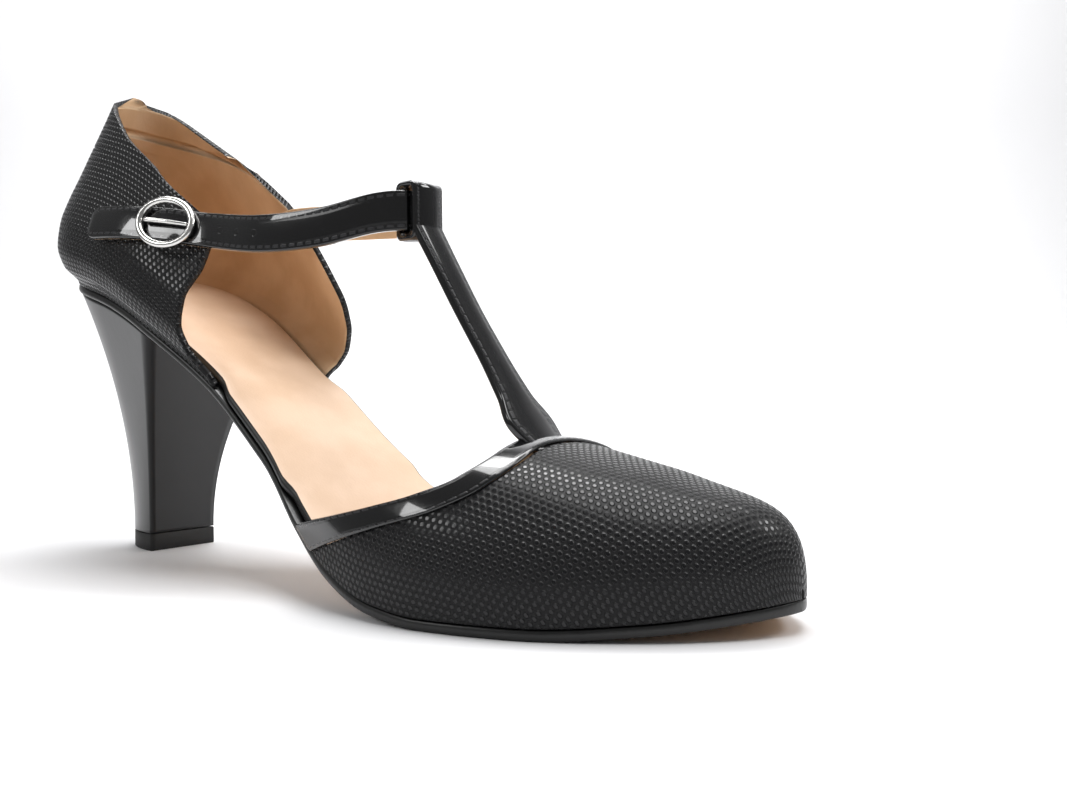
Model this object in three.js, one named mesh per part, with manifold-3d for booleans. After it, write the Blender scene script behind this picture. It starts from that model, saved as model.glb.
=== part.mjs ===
// Ballroom dance shoe, right foot, with a T-bar, an ankle strap and a tapered block heel.
// Millimetres. X runs from the heel to the toe, Y to the inner side of the foot, Z up.
import * as THREE from 'three';
import { mergeVertices } from 'three/addons/utils/BufferGeometryUtils.js';
import Module from 'manifold-3d';

const wasm = await Module();
wasm.setup();

// Driving dimensions
const LENGTH = 225;           // sole, from the back of the heel seat to the toe
const SEAT_HALF = 22.8;       // half width of the heel seat
const WAIST_HALF = 19.8;      // half width of the sole at the waist
const BALL_HALF = 34;         // half width of the sole at the ball
const SEAT_HEIGHT = 83;       // top of the outsole at the back of the heel
const TOE_SPRING = 4.3;       // rise of the sole from the ball to the toe
const SWING = 13;             // how far the toe lies to the inner side of the heel
const INSTEP_HEIGHT = 35;     // vamp above the sole at the throat
const TOE_HEIGHT = 19;        // vamp above the sole just behind the toe
const QUARTER_HEIGHT = 56;    // back of the quarter above the heel seat
const BULGE = 5.6;            // how far the quarter swells past its sole line
const ANKLE_PINCH = 12;       // how far the top of the quarter leans in past its sole line
const WALL = 1.7;             // upper leather with its lining
const TRIM_RISE = 0.7;        // throat trim above the vamp beside it
const OUTSOLE = 2.2;
const INSOLE = 3;
const INSOLE_SHARE = 0.92;
const GAP = 0.3;              // clearance where two pieces meet
const HEEL_TIP_LENGTH = 21;
const HEEL_TIP_HALF = 10.5;
const HEEL_TIP_BACK = 10;     // back of the heel tip, ahead of the back of the sole
const TOP_LIFT = 5;
const STRAP_HEIGHT = 9.5;
const STRAP_THICK = 1.6;
const STRAP_LEVEL = 90;       // middle of the ankle strap at the front
const BAR_WIDTH = 9.5;
const BAR_THICK = 1.8;
const LOOP_WALL = 1.6;
const LOOP_DEPTH = 3.6;
const LOOP_PLAY = 0.7;
const RING_LENGTH = 18;
const RING_HEIGHT = 15;
const WIRE = 1.9;
const PRONG = 1.5;

const BALL_LEVEL = OUTSOLE + GAP;     // underside of the upper where the sole lies flat
const SEAT_RISE = SEAT_HEIGHT - BALL_LEVEL;

// A smooth curve through the rows of a table, with the first column as its variable.
// It has no rise or dip that the rows don't have, so two equal rows give a flat stretch.
function smooth(rows) {
  const slope = rows.slice(1).map((row, i) => row.map((v, k) => (v - rows[i][k]) / (row[0] - rows[i][0])));
  const tangent = rows.map((row, i) => {
    if (i === 0) return slope[0];
    if (i === rows.length - 1) return slope[i - 1];
    const before = row[0] - rows[i - 1][0];
    const after = rows[i + 1][0] - row[0];
    return row.map((v, k) => {
      const [left, right] = [slope[i - 1][k], slope[i][k]];
      return left * right > 0 ? (before + after) / (before / left + after / right) : 0;
    });
  });
  return (at) => {
    const x = Math.min(Math.max(at, rows[0][0]), rows[rows.length - 1][0]);
    let i = 0;
    while (i < rows.length - 2 && x > rows[i + 1][0]) i += 1;
    const span = rows[i + 1][0] - rows[i][0];
    const t = (x - rows[i][0]) / span;
    return rows[i].map((v, k) => v * (1 + 2 * t) * (1 - t) ** 2 + tangent[i][k] * span * t * (1 - t) ** 2
      + rows[i + 1][k] * t * t * (3 - 2 * t) - tangent[i + 1][k] * span * t * t * (1 - t));
  };
}

// Sections of the last along the sole. Columns: place along the sole, half width,
// middle line towards the inner side, level of the feather line.
const sole = smooth([
  [0.000, SEAT_HALF * 0.97, -SWING * 0.28, BALL_LEVEL + SEAT_RISE],
  [0.133, SEAT_HALF, -SWING * 0.27, BALL_LEVEL + SEAT_RISE * 0.910],
  [0.222, SEAT_HALF, -SWING * 0.23, BALL_LEVEL + SEAT_RISE * 0.806],
  [0.355, WAIST_HALF, -SWING * 0.15, BALL_LEVEL + SEAT_RISE * 0.570],
  [0.444, WAIST_HALF * 1.02, -SWING * 0.17, BALL_LEVEL + SEAT_RISE * 0.383],
  [0.533, BALL_HALF * 0.72, -SWING * 0.20, BALL_LEVEL + SEAT_RISE * 0.192],
  [0.600, BALL_HALF * 0.84, -SWING * 0.14, BALL_LEVEL + SEAT_RISE * 0.077],
  [0.667, BALL_HALF * 0.945, 0, BALL_LEVEL + SEAT_RISE * 0.017],
  [0.733, BALL_HALF, SWING * 0.20, BALL_LEVEL],
  [0.822, BALL_HALF * 1.01, SWING * 0.46, BALL_LEVEL],
  [0.911, BALL_HALF * 0.97, SWING * 0.77, BALL_LEVEL + TOE_SPRING * 0.30],
  [1.000, BALL_HALF * 0.89, SWING, BALL_LEVEL + TOE_SPRING],
]);
const HEEL_ROUND = LENGTH * 0.124;    // length of the round back of the seat
const TOE_ROUND = LENGTH * 0.298;     // length of the round front of the toe

// Half width, middle and level of the sole line at x, drawn in by an inset all round
function section(x, inset = 0) {
  const [, width, middle, level] = sole(x / LENGTH);
  const back = Math.min(Math.max((HEEL_ROUND - x) / (HEEL_ROUND - inset), 0), 1);
  const front = Math.min(Math.max((x - (LENGTH - TOE_ROUND)) / (TOE_ROUND - inset), 0), 1);
  const round = Math.sqrt(1 - back ** 2.3) * (1 - front ** 2.05) ** 0.56;
  return { half: Math.max((width - inset) * round, 0.05), middle, level };
}

// Stations from one x to another, crowded towards the ends that are round
function stations(from, to, count, roundBack, roundFront) {
  return Array.from({ length: count + 1 }, (_, i) => {
    const t = i / count;
    let share = t;
    if (roundBack && roundFront) share = (1 - Math.cos(Math.PI * t)) / 2;
    else if (roundFront) share = Math.sin(Math.PI * t / 2);
    else if (roundBack) share = 1 - Math.cos(Math.PI * t / 2);
    return from + (to - from) * share;
  });
}

// A closed solid through rings of points, with its two ends capped
function loft(rings) {
  const count = rings[0].length;
  const points = rings.flat();
  const index = [];
  for (let r = 0; r < rings.length - 1; r += 1) {
    for (let i = 0; i < count; i += 1) {
      const a = r * count + i;
      const b = r * count + (i + 1) % count;
      index.push(a, b, b + count, a, b + count, a + count);
    }
  }
  for (const [r, turned] of [[0, false], [rings.length - 1, true]]) {
    const hub = points.length;
    const middle = new THREE.Vector3();
    for (const p of rings[r]) middle.addScaledVector(p, 1 / count);
    points.push(middle);
    for (let i = 0; i < count; i += 1) {
      const a = r * count + i;
      const b = r * count + (i + 1) % count;
      if (turned) index.push(hub, a, b);
      else index.push(hub, b, a);
    }
  }
  return facingOut(points, index);
}

// Turns every face over where the volume they enclose comes out negative
function facingOut(points, index) {
  let volume = 0;
  for (let i = 0; i < index.length; i += 3) {
    const [a, b, c] = [points[index[i]], points[index[i + 1]], points[index[i + 2]]];
    volume += a.dot(new THREE.Vector3().crossVectors(b, c));
  }
  if (volume < 0) index.reverse();
  const geometry = new THREE.BufferGeometry();
  geometry.setAttribute('position', new THREE.Float32BufferAttribute(points.flatMap((p) => p.toArray()), 3));
  geometry.setIndex(index);
  return geometry;
}

function solid(geometry) {
  const bare = geometry.clone();
  bare.deleteAttribute('normal');
  bare.deleteAttribute('uv');
  const merged = mergeVertices(bare, 1e-4);
  return new wasm.Manifold(new wasm.Mesh({
    numProp: 3,
    vertProperties: new Float32Array(merged.attributes.position.array),
    triVerts: new Uint32Array(merged.index.array),
  }));
}

function geometryOf(manifold) {
  const mesh = manifold.getMesh();
  const geometry = new THREE.BufferGeometry();
  geometry.setAttribute('position', new THREE.BufferAttribute(mesh.vertProperties, 3));
  geometry.setIndex(new THREE.BufferAttribute(mesh.triVerts, 1));
  return geometry;
}

// A prism across the shoe over an outline drawn in the side view, from one y to another
function across(outline, from, to) {
  const shape = new THREE.Shape(outline.map(([x, z]) => new THREE.Vector2(x, z)));
  const prism = new THREE.ExtrudeGeometry(shape, { depth: to - from, bevelEnabled: false });
  return solid(prism.rotateX(Math.PI / 2).translate(0, to, 0));
}

// Points of a smooth line in the side view
function line(points, count) {
  const curve = new THREE.SplineCurve(points.map(([x, z]) => new THREE.Vector2(x, z)));
  return curve.getPoints(count).map((p) => [p.x, p.y]);
}

// Vamp. Columns: place along the sole, height of the crest above the sole line.
const crest = smooth([
  [0.49, INSTEP_HEIGHT * 1.15],
  [0.60, INSTEP_HEIGHT * 1.12],
  [0.70, INSTEP_HEIGHT * 1.04],
  [0.755, INSTEP_HEIGHT * 0.985],
  [0.82, INSTEP_HEIGHT * 0.89],
  [0.865, TOE_HEIGHT + (INSTEP_HEIGHT - TOE_HEIGHT) * 0.58],
  [0.907, TOE_HEIGHT + (INSTEP_HEIGHT - TOE_HEIGHT) * 0.36],
  [0.955, TOE_HEIGHT + (INSTEP_HEIGHT - TOE_HEIGHT) * 0.14],
  [1.00, TOE_HEIGHT],
]);
const VAMP_BACK = LENGTH * 0.50;
const TOE_FACE = LENGTH * 0.13;       // length over which the toe turns down
const ARCH_FULLNESS = 0.9;
const SIDE_SWELL = 1.5;

// The arch of the vamp at x, from the outer feather line over the crest to the inner one
function arch(x, inset, count) {
  const { half, middle, level } = section(x, inset);
  const front = Math.min(Math.max((x - (LENGTH - TOE_FACE)) / (TOE_FACE - inset), 0), 1);
  const height = Math.max((crest(x / LENGTH)[1] - inset) * (1 - front ** 5) ** 0.4, 0.05);
  const swell = SIDE_SWELL * Math.min(1, half / WAIST_HALF);
  return Array.from({ length: count + 1 }, (_, i) => {
    const angle = Math.PI * i / count;
    const c = Math.cos(angle);
    const reach = half * Math.abs(c) ** ARCH_FULLNESS + swell * Math.abs(Math.sin(2 * angle));
    const rise = height * Math.max(Math.sin(angle), 0) ** ARCH_FULLNESS;
    return new THREE.Vector3(x, middle - Math.sign(c) * reach, level + rise);
  });
}

// The last's own form over the forefoot, solid, with its underside dropped where it is a cutter
function forefoot(inset, back, drop) {
  const rings = stations(back, LENGTH - inset - 0.02, 34, false, true).map((x) => {
    const ring = arch(x, inset, 26);
    if (drop > 0) {
      const { level } = section(x, inset);
      ring.unshift(new THREE.Vector3(x, ring[0].y, level - drop));
      ring.push(new THREE.Vector3(x, ring[ring.length - 1].y, level - drop));
    }
    return ring;
  });
  return solid(loft(rings));
}

// Side view of the throat. Columns: place along the sole, height in shares of the instep.
const THROAT_EDGE = [
  [0.515, 0.38], [0.560, 0.46], [0.610, 0.53], [0.662, 0.61], [0.705, 0.69], [0.738, 0.79], [0.752, 0.92],
  [0.748, 1.06], [0.735, 1.22],
];
const TRIM_EDGE = [
  [0.522, 0.15], [0.560, 0.25], [0.610, 0.36], [0.676, 0.49], [0.735, 0.61], [0.768, 0.74], [0.780, 0.88],
  [0.768, 1.04], [0.745, 1.24],
];
const sideView = (rows) => rows.map(([share, rise]) => [share * LENGTH, BALL_LEVEL + rise * INSTEP_HEIGHT]);

// Everything below the feather line
function underSole() {
  const level = stations(-LENGTH * 0.05, LENGTH * 1.05, 80, false, false).map((x) => [x, section(x).level]);
  const floor = -LENGTH * 0.1;
  return across([...level, [LENGTH * 1.05, floor], [-LENGTH * 0.05, floor]], -BALL_HALF * 2, BALL_HALF * 2);
}

// Everything above and behind a line of the throat, moved along the sole by a clearance
function opening(rows, forward) {
  const edge = line(sideView(rows), 24).map(([x, z]) => [x + forward, z]);
  const [first] = edge;
  const last = edge[edge.length - 1];
  const outline = [...edge, [last[0], INSTEP_HEIGHT * 4], [first[0] - LENGTH * 0.2, INSTEP_HEIGHT * 4]];
  return across([...outline, [first[0] - LENGTH * 0.2, first[1]]], -BALL_HALF * 2, BALL_HALF * 2);
}

function vamp() {
  const shell = forefoot(0, VAMP_BACK, 3).subtract(forefoot(WALL, VAMP_BACK - 2, 8));
  return shell.subtract(underSole()).subtract(opening(TRIM_EDGE, GAP)).subtract(behindCorner());
}

// What lies behind the vamp's rear corners
function behindCorner() {
  const [x, z] = sideView(THROAT_EDGE)[0];
  const lower = section(x).level - 4;
  const foot = x + 2.5;
  return across([[x - 40, z + 1], [x, z + 1], [foot, lower], [x - 40, lower]], -BALL_HALF * 2, BALL_HALF * 2);
}

// T-bar in the side view, from the throat to the loop. Columns: place along the sole,
// height in shares of the way from the instep to the strap, width in shares of the bar.
const BAR_FOOT = INSTEP_HEIGHT * 1.03 + BALL_LEVEL;
const barLine = smooth([
  [0.00, 0.772, -0.09, 1.10],
  [0.10, 0.745, 0.03, 1.55],
  [0.22, 0.724, 0.15, 1.12],
  [0.40, 0.695, 0.33, 0.92],
  [0.60, 0.663, 0.53, 0.88],
  [0.80, 0.632, 0.74, 0.90],
  [1.00, 0.604, 0.93, 0.96],
]);
const BAR_SHIFT = 0.2;                // the bar's middle lies this far to the inner side

function bar() {
  const steps = 22;
  const at = (t) => {
    const [, share, rise, width] = barLine(t);
    return { x: share * LENGTH, z: BAR_FOOT + rise * (STRAP_LEVEL - BAR_FOOT), half: width * BAR_WIDTH / 2 };
  };
  const rings = [];
  for (let i = 0; i <= steps; i += 1) {
    const t = i / steps;
    const here = at(t);
    const ahead = at(Math.min(t + 0.01, 1));
    const behind = at(Math.max(t - 0.01, 0));
    const along = new THREE.Vector3(ahead.x - behind.x, 0, ahead.z - behind.z).normalize();
    const out = new THREE.Vector3(along.z, 0, -along.x).multiplyScalar(BAR_THICK / 2);
    const middle = new THREE.Vector3(here.x, BAR_SHIFT, here.z);
    const side = new THREE.Vector3(0, here.half, 0);
    rings.push([
      middle.clone().add(out).sub(side), middle.clone().add(out).add(side),
      middle.clone().sub(out).add(side), middle.clone().sub(out).sub(side),
    ]);
  }
  return solid(loft(rings));
}

// The sleeve at the top of the bar that the ankle strap runs through
const LOOP_X = LENGTH * 0.594;
function loop() {
  const depth = LOOP_DEPTH / 2;
  const height = STRAP_HEIGHT / 2 + LOOP_PLAY;
  const box = (d, h) => [[LOOP_X - d, STRAP_LEVEL - h], [LOOP_X + d, STRAP_LEVEL - h],
    [LOOP_X + d, STRAP_LEVEL + h], [LOOP_X - d, STRAP_LEVEL + h]];
  const outer = across(box(depth + LOOP_WALL, height + LOOP_WALL), BAR_SHIFT - BAR_WIDTH / 2, BAR_SHIFT + BAR_WIDTH / 2);
  return { outer, hole: across(box(depth, height), BAR_SHIFT - BAR_WIDTH, BAR_SHIFT + BAR_WIDTH) };
}

function throatAndBar() {
  const shell = forefoot(-TRIM_RISE, VAMP_BACK, 3).subtract(forefoot(WALL, VAMP_BACK - 2, 8));
  const band = shell.intersect(opening(TRIM_EDGE, 0)).subtract(opening(THROAT_EDGE, 0));
  const trim = band.subtract(underSole()).subtract(behindCorner());
  const under = forefoot(WALL, VAMP_BACK - 2, 8).subtract(opening(THROAT_EDGE, 0));
  const vampFace = forefoot(GAP, VAMP_BACK, 0).subtract(opening(TRIM_EDGE, 0));
  const sleeve = loop();
  const stem = bar().subtract(under).subtract(vampFace);
  return trim.add(stem).add(sleeve.outer).subtract(sleeve.hole);
}

// Quarter. Columns: height above the sole line in shares of its height, lean outwards.
const lean = smooth([
  [-0.20, 0],
  [0.00, 0],
  [0.09, BULGE * 0.72],
  [0.19, BULGE],
  [0.31, BULGE * 0.86],
  [0.43, BULGE * 0.45],
  [0.57, -ANKLE_PINCH * 0.08],
  [0.74, -ANKLE_PINCH * 0.42],
  [0.88, -ANKLE_PINCH * 0.70],
  [1.04, -ANKLE_PINCH],
  [1.20, -ANKLE_PINCH * 1.3],
]);
const QUARTER_FRONT = LENGTH * 0.42;

// The sole line round the heel from the outer front to the inner front, with its normals
function heelLine(front, inset, count) {
  const half = stations(0.02 + inset, front, count, true, false);
  const xs = [...half.slice().reverse().map((x) => [x, -1]), ...half.slice(1).map((x) => [x, 1])];
  const points = xs.map(([x, side]) => {
    const s = section(x, inset);
    return new THREE.Vector3(x, s.middle + side * s.half, s.level);
  });
  const normals = points.map((p, i) => {
    const next = points[Math.min(i + 1, points.length - 1)];
    const last = points[Math.max(i - 1, 0)];
    return new THREE.Vector3(last.y - next.y, next.x - last.x, 0).normalize();
  });
  return points.map((p, i) => ({ p, n: normals[i] }));
}

function heelForm(inset, front, low, high) {
  const rim = heelLine(front, 0, 22);
  const rows = 18;
  const rings = [];
  for (let r = 0; r <= rows; r += 1) {
    const share = low + (high - low) * r / rows;
    const out = lean(share)[1] - inset;
    rings.push(rim.map(({ p, n }) => p.clone().addScaledVector(n, out).setZ(p.z + share * QUARTER_HEIGHT)));
  }
  return solid(loft(rings));
}

// Topline and front edge in the side view. Columns: place along the sole, height above the
// ball in shares of the whole height. One table for each side of the foot.
const TOP = SEAT_HEIGHT + QUARTER_HEIGHT;
const OUTER_EDGE = [
  [0.020, 1.002], [0.055, 0.985], [0.105, 0.930], [0.150, 0.870], [0.215, 0.800], [0.262, 0.738], [0.305, 0.690],
  [0.334, 0.635], [0.336, 0.580], [0.327, 0.525], [0.325, 0.470], [0.333, 0.410], [0.352, 0.355], [0.372, 0.310],
];
const INNER_EDGE = [
  [0.020, 1.002], [0.060, 0.985], [0.115, 0.925], [0.205, 0.833], [0.275, 0.765], [0.315, 0.715], [0.345, 0.645],
  [0.366, 0.570], [0.374, 0.525], [0.369, 0.480], [0.357, 0.430], [0.345, 0.385], [0.340, 0.340],
];

// Everything above and ahead of an edge of the quarter, on one side of the middle plane
function cutAway(rows, from, to) {
  const edge = line(rows.map(([share, rise]) => [share * LENGTH, rise * TOP]), 44);
  const [back] = edge;
  const foot = edge[edge.length - 1];
  const outline = [[-LENGTH * 0.1, back[1]], ...edge, [foot[0], 0], [LENGTH * 0.6, 0], [LENGTH * 0.6, TOP * 1.3]];
  return across([...outline, [-LENGTH * 0.1, TOP * 1.3]], from, to);
}

function quarter() {
  const form = heelForm(0, QUARTER_FRONT, -0.06, 1.12);
  const shell = form.subtract(heelForm(WALL, QUARTER_FRONT + 4, -0.12, 1.19)).subtract(underSole());
  const middle = section(0).middle;
  const far = BALL_HALF * 2;
  return shell.subtract(cutAway(OUTER_EDGE, -far, middle + 0.01)).subtract(cutAway(INNER_EDGE, middle, far));
}

// How far the outside of the quarter reaches at x and z, on the outer (-1) or inner (1) side
function quarterSide(x, z, side) {
  const s = section(x);
  return s.middle + side * (s.half + lean((z - s.level) / QUARTER_HEIGHT)[1]);
}

// A flat plate along the sole between two depths under the feather line
function plate(inset, from, to, top, bottom) {
  const rings = stations(from, to, 64, true, true).map((x) => {
    const [outer, inner] = [inset(x, -1), inset(x, 1)];
    const wide = Math.max(outer, inner);
    const s = section(x, Math.min(outer, inner));
    const narrow = section(x, wide);
    const low = s.middle - (outer < inner ? s.half : narrow.half);
    const high = s.middle + (inner < outer ? s.half : narrow.half);
    return [[low, bottom], [high, bottom], [high, top], [low, top]].map(([y, depth]) => (
      new THREE.Vector3(x, y, s.level - depth)));
  });
  return loft(rings);
}

function outsole() {
  return plate(() => 0, 0.02, LENGTH - 0.02, GAP, GAP + OUTSOLE);
}

// The insole fills the upper, and reaches the edge of the sole where the upper is cut away
function insole() {
  const inside = (WALL + GAP) / INSOLE_SHARE;
  const bare = smooth([[0.33, 1], [0.355, 1], [0.385, 0], [0.49, 0], [0.515, 1], [0.53, 1]]);
  const inset = (x) => GAP + (inside - GAP) * bare(x / LENGTH)[1];
  return plate(inset, inside + 0.05, LENGTH - inside - 1.5, 0, -INSOLE);
}

// Heel: the tip's D outline blends into the outline of the seat
const BREAST = LENGTH * 0.235;
const SEAT_INSET = 0.8;
const TAPER = 2.0;

function tipPoint(angle) {
  const x = HEEL_TIP_BACK + HEEL_TIP_LENGTH - HEEL_TIP_LENGTH * Math.cos(angle);
  return new THREE.Vector3(x, section(0).middle * 0.3 + HEEL_TIP_HALF * Math.sin(angle), 0);
}

function heel() {
  const around = 30;
  const seat = [];
  const tip = [];
  for (let i = 0; i <= around; i += 1) {
    const angle = -Math.PI / 2 + Math.PI * i / around;
    const x = SEAT_INSET + (BREAST - SEAT_INSET) * (1 - Math.cos(angle));
    const s = section(x, SEAT_INSET);
    const side = Math.sign(angle) || 0;
    const reach = Math.abs(i - around / 2) < 0.5 ? 0 : s.half;
    seat.push(new THREE.Vector3(x, s.middle + side * reach, s.level - OUTSOLE - 2 * GAP));
    tip.push(tipPoint(angle));
  }
  const foot = TOP_LIFT + GAP;
  const rings = [];
  const rows = 14;
  for (let r = 0; r <= rows; r += 1) {
    const t = r / rows;
    const flare = t ** TAPER;
    rings.push(seat.map((p, i) => new THREE.Vector3(
      tip[i].x + (p.x - tip[i].x) * flare,
      tip[i].y + (p.y - tip[i].y) * flare,
      foot + (p.z - foot) * t,
    )));
  }
  return loft(rings);
}

function topLift() {
  const ring = Array.from({ length: 25 }, (_, i) => tipPoint(-Math.PI / 2 + Math.PI * i / 24));
  return loft([ring, ring.map((p) => p.clone().setZ(TOP_LIFT))]);
}

// Ankle strap seen from above, from its free end on the outer side of the quarter to the
// inside of the inner quarter. Columns: x, y, level, tilt of the strap's face in degrees.
const strapOut = STRAP_THICK / 2 + GAP;
const onQuarter = (share, level) => (
  [share * LENGTH, quarterSide(share * LENGTH, level, -1) - strapOut * 2.0, level, 20]);
const insideQuarter = (share, level) => (
  [share * LENGTH, quarterSide(share * LENGTH, level, 1) - WALL - strapOut * 3.1, level, 9]);
const STRAP_RISE = STRAP_LEVEL * 0.04;
const strapRows = [
  onQuarter(0.172, STRAP_LEVEL + STRAP_RISE * 1.1),
  onQuarter(0.225, STRAP_LEVEL + STRAP_RISE * 0.9),
  onQuarter(0.280, STRAP_LEVEL + STRAP_RISE * 0.5),
  onQuarter(0.335, STRAP_LEVEL - STRAP_RISE * 0.1),
  [LENGTH * 0.430, -WAIST_HALF * 0.93, STRAP_LEVEL - STRAP_RISE * 0.9, 8],
  [LENGTH * 0.505, -WAIST_HALF * 0.70, STRAP_LEVEL - STRAP_RISE * 0.8, 4],
  [LENGTH * 0.566, -WAIST_HALF * 0.42, STRAP_LEVEL - STRAP_RISE * 0.1, 0],
  [LOOP_X - 0.35, BAR_SHIFT - BAR_WIDTH * 0.52, STRAP_LEVEL, 0],
  [LOOP_X + 0.25, BAR_SHIFT, STRAP_LEVEL, 0],
  [LOOP_X - 0.35, BAR_SHIFT + BAR_WIDTH * 0.52, STRAP_LEVEL, 0],
  [LENGTH * 0.560, WAIST_HALF * 0.50, STRAP_LEVEL + STRAP_RISE * 0.2, 0],
  [LENGTH * 0.460, WAIST_HALF * 0.60, STRAP_LEVEL + STRAP_RISE * 0.7, 4],
  insideQuarter(0.348, STRAP_LEVEL + STRAP_RISE * 0.95),
  insideQuarter(0.305, STRAP_LEVEL + STRAP_RISE * 1.0),
];

const strapCurve = new THREE.CatmullRomCurve3(
  strapRows.map(([x, y, z]) => new THREE.Vector3(x, y, z)), false, 'centripetal');

// Place, direction, face normal and width direction of the strap at t
function strapFrame(t) {
  const place = strapCurve.getPoint(t);
  const along = strapCurve.getTangent(t);
  const out = new THREE.Vector3(along.y, -along.x, 0).normalize();
  const row = t * (strapRows.length - 1);
  const i = Math.min(Math.floor(row), strapRows.length - 2);
  const tilt = THREE.MathUtils.degToRad(strapRows[i][3] + (strapRows[i + 1][3] - strapRows[i][3]) * (row - i));
  const up = new THREE.Vector3(0, 0, Math.cos(tilt)).addScaledVector(out, -Math.sin(tilt));
  const face = out.clone().multiplyScalar(Math.cos(tilt)).setZ(Math.sin(tilt));
  return { place, along, face, up };
}

function ankleStrap() {
  const steps = 76;
  const rings = [];
  for (let i = 0; i <= steps; i += 1) {
    const { place, face, up } = strapFrame(i / steps);
    const corner = (f, u) => place.clone()
      .addScaledVector(face, f * STRAP_THICK / 2).addScaledVector(up, u * STRAP_HEIGHT / 2);
    rings.push([corner(-1, -1), corner(1, -1), corner(1, 1), corner(-1, 1)]);
  }
  return loft(rings);
}

// Buckle: an oval ring of wire over the strap, with a prong across it
const RING_AT = 2.15 / (strapRows.length - 1);            // where along the strap's rows the ring lies
const RING_OFF = STRAP_THICK / 2 + GAP + WIRE * 0.4;

function ring() {
  const { place, along, face, up } = strapFrame(RING_AT);
  const middle = place.clone().addScaledVector(face, RING_OFF);
  const turns = 36;
  const sides = 8;
  const rings = [];
  for (let i = 0; i < turns; i += 1) {
    const angle = 2 * Math.PI * i / turns;
    const spoke = along.clone().multiplyScalar(Math.cos(angle) * (RING_LENGTH - WIRE) / 2)
      .addScaledVector(up, Math.sin(angle) * (RING_HEIGHT - WIRE) / 2);
    const outward = spoke.clone().normalize();
    rings.push(Array.from({ length: sides }, (_, k) => {
      const turn = 2 * Math.PI * k / sides;
      return middle.clone().add(spoke).addScaledVector(outward, Math.cos(turn) * WIRE / 2)
        .addScaledVector(face, Math.sin(turn) * WIRE * 0.4);
    }));
  }
  const index = [];
  for (let i = 0; i < turns; i += 1) {
    for (let k = 0; k < sides; k += 1) {
      const a = i * sides + k;
      const b = i * sides + (k + 1) % sides;
      const c = ((i + 1) % turns) * sides + k;
      const d = ((i + 1) % turns) * sides + (k + 1) % sides;
      index.push(a, b, d, a, d, c);
    }
  }
  return facingOut(rings.flat(), index);
}

function prong() {
  const { place, along, face, up } = strapFrame(RING_AT);
  const start = RING_LENGTH / 2 - WIRE - GAP;
  const middle = place.clone().addScaledVector(face, RING_OFF);
  const rings = [];
  for (let i = 0; i <= 6; i += 1) {
    const t = i / 6;
    const radius = PRONG / 2 * (1 - 0.35 * t);
    const centre = middle.clone().addScaledVector(along, -start + 2 * start * t);
    rings.push(Array.from({ length: 8 }, (_, k) => {
      const turn = 2 * Math.PI * k / 8;
      return centre.clone().addScaledVector(up, Math.cos(turn) * radius)
        .addScaledVector(face, Math.sin(turn) * radius);
    }));
  }
  return loft(rings);
}

// Materials
const finish = (color, roughness, metalness = 0) => (
  new THREE.MeshStandardMaterial({ color, roughness, metalness }));
const textured = finish(0x14141a, 0.45);
const patent = finish(0x0c0c0e, 0.12);
const heelLacquer = finish(0x101012, 0.25);
const soleEdge = finish(0x1a1712, 0.5);
const lining = finish(0xd8b48c, 0.6);
const liftRubber = finish(0x0e0e0e, 0.7);
const steel = finish(0xc8c8ca, 0.2, 1);

const shoe = new THREE.Group();
function piece(name, geometry, material) {
  const mesh = new THREE.Mesh(geometry, material);
  mesh.name = name;
  shoe.add(mesh);
}

piece('outsole', outsole(), soleEdge);
piece('insole', insole(), lining);
piece('heel', heel(), heelLacquer);
piece('top_lift', topLift(), liftRubber);
piece('vamp', geometryOf(vamp()), textured);
piece('throat_trim_and_t_bar', geometryOf(throatAndBar()), patent);
piece('quarter', geometryOf(quarter()), textured);
piece('ankle_strap', ankleStrap(), patent);
piece('buckle_ring', ring(), steel);
piece('buckle_prong', prong(), steel);

// The origin is under the middle of the shoe, on the floor
const box = new THREE.Box3().setFromObject(shoe);
const middle = box.getCenter(new THREE.Vector3());
shoe.position.set(-middle.x, -middle.y, -box.min.z);

export default shoe;
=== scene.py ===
# %% [markdown]
# A ballroom dance shoe for the right foot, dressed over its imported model. The solids
# already have every form, yet their flat facets would show in glossy leather. So each
# piece is worked out again with numpy, from the same sizes and with many more points.

# %% Load the frame
import math
import bpy
import numpy as np
from mathutils import Matrix, Vector


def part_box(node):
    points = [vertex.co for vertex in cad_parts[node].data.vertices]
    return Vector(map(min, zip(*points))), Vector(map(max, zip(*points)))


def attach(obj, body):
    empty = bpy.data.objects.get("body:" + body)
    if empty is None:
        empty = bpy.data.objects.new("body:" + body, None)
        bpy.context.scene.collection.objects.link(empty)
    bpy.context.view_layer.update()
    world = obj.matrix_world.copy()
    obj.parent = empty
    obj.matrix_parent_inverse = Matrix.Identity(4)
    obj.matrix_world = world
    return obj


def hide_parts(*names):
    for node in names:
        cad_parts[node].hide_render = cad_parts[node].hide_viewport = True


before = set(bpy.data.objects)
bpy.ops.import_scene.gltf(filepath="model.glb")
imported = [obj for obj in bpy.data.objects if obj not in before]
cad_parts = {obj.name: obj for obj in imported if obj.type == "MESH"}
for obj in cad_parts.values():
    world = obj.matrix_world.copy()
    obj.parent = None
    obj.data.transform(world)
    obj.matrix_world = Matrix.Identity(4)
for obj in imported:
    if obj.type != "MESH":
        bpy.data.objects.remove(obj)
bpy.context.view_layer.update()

# %% [markdown]
# The driving sizes of the shoe, in millimetres. X runs from the heel to the toe, Y to
# the inner side of the foot and Z up. A half is measured from the middle to one side.

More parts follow.
